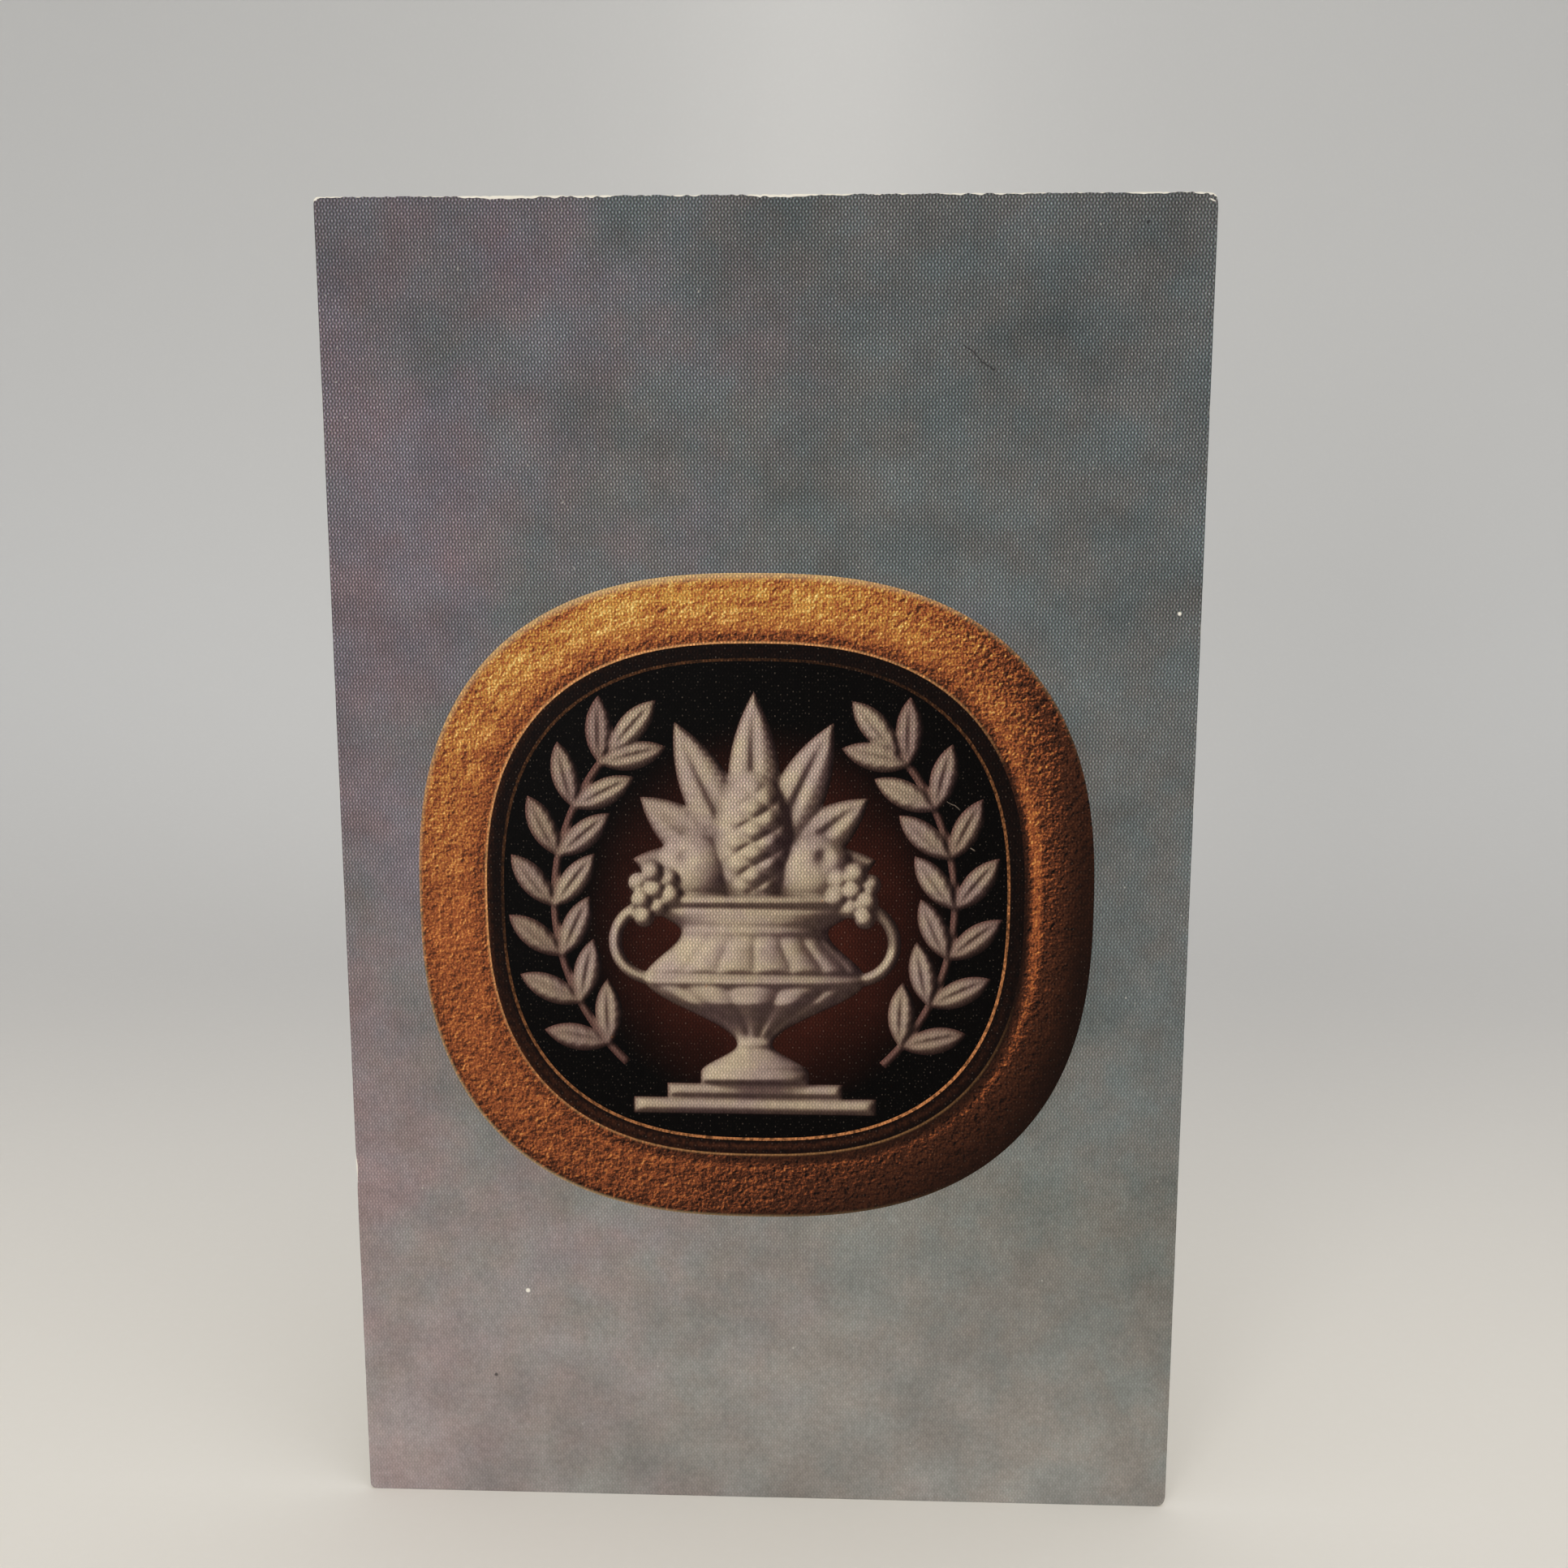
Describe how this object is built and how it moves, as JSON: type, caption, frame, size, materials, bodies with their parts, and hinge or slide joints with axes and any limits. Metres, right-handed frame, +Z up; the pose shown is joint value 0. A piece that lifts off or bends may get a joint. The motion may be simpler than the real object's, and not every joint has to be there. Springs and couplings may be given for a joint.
{
  "type": "picture postcard",
  "caption": "Upright picture postcard of layered board: mottled grey ground, gold rounded-oval frame, pale carved-look urn and laurel on black; plain divided back.",
  "frame": {"origin": "middle of the card's bottom edge, halfway through its thickness", "axes": "+Z up the card's long side, X along its short side, -Y out of the picture side, +Y out of the message side"},
  "size_m": [0.089, 0.0004, 0.14],
  "materials": {
    "board": "matte",
    "liner": "matte",
    "coating": "matte",
    "grey_ink": "satin",
    "gold_ink": "satin",
    "dark_ink": "satin",
    "bezel_ink": "satin",
    "relief_ink": "satin",
    "line_ink": "matte"
  },
  "bodies": {
    "root": {"back_liner": "liner", "core_ply_back": "board", "core_ply_middle": "board", "core_ply_front": "board", "front_liner": "liner", "clay_coat": "coating", "background_print": "grey_ink", "ring_print": "gold_ink", "groove_print": "dark_ink", "bezel_print": "bezel_ink", "field_print": "dark_ink", "plinth_print": "relief_ink", "grape_print": "relief_ink", "urn_print": "relief_ink", "fruit_print": "relief_ink", "fan_leaf_print": "relief_ink", "laurel_print_right": "relief_ink", "laurel_print_left": "relief_ink", "divider_line": "line_ink", "address_lines": "line_ink", "stamp_box": "line_ink"}
  },
  "joints": []
}
